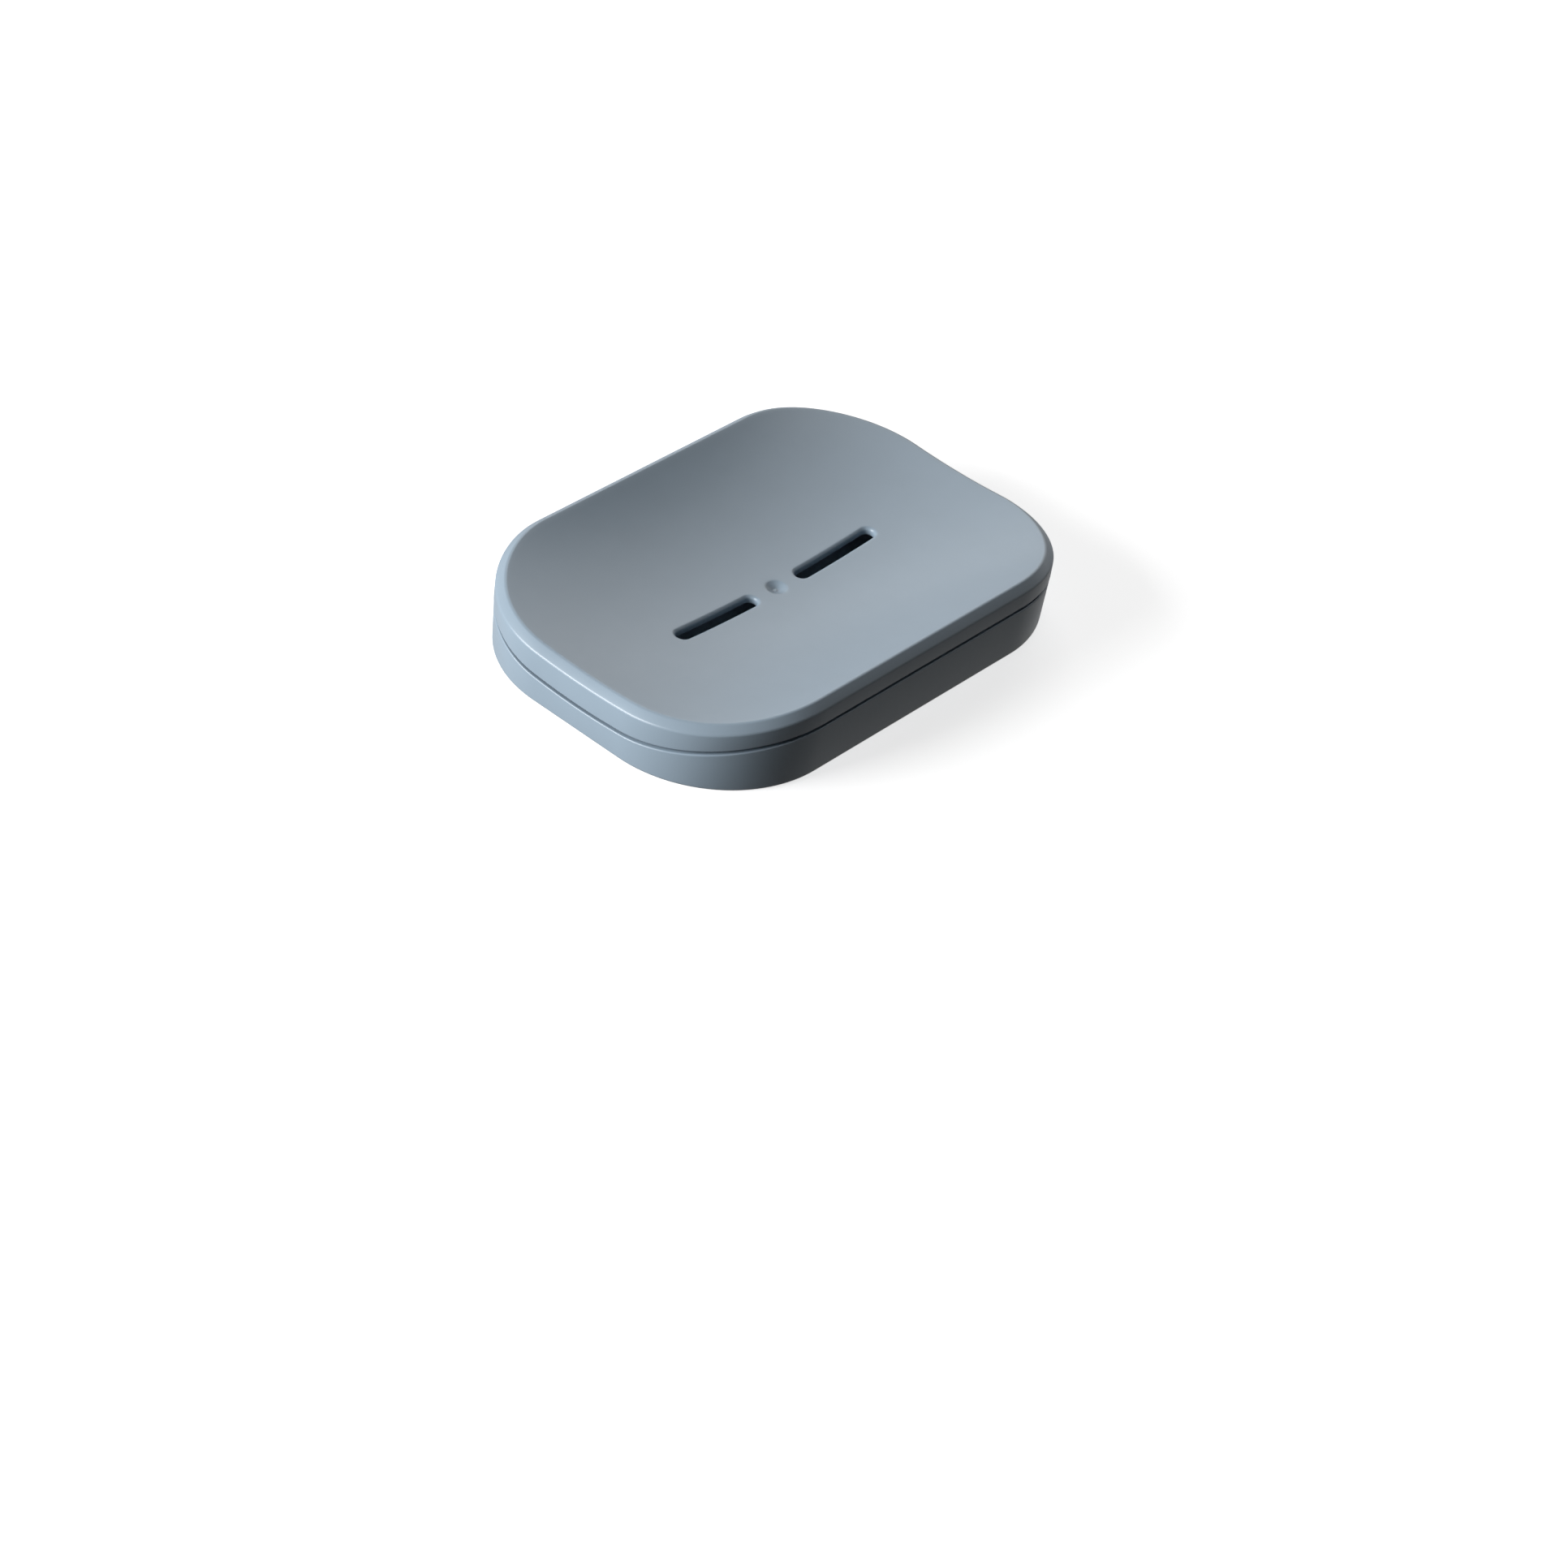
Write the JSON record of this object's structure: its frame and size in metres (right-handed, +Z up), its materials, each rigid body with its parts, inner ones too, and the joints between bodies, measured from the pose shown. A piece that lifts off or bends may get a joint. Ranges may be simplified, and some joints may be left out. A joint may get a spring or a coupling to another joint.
{
  "type": "soap dish",
  "caption": "Rounded rectangular soap dish: a dished soap tray with drain slots and a rim that dips at both ends lies on a water tray and lifts off.",
  "frame": {"origin": "centre of the foot, on the surface that the dish stands on", "axes": "+X along the length and the two slots, +Y across the width, +Z up"},
  "size_m": [0.136, 0.0926, 0.0205],
  "materials": {
    "soap_tray_plastic": "blue-grey moulded polypropylene with a fine matte grain",
    "water_tray_plastic": "blue-grey moulded polypropylene with a fine matte grain"
  },
  "bodies": {
    "water_tray": {"water_tray": "water_tray_plastic"},
    "soap_tray": {"soap_tray": "soap_tray_plastic"}
  },
  "joints": [
    {"name": "soap_tray_lift", "type": "slide", "parent": "water_tray", "child": "soap_tray", "axis": [0, 0, 1], "range_m": [0, 0.04]}
  ]
}
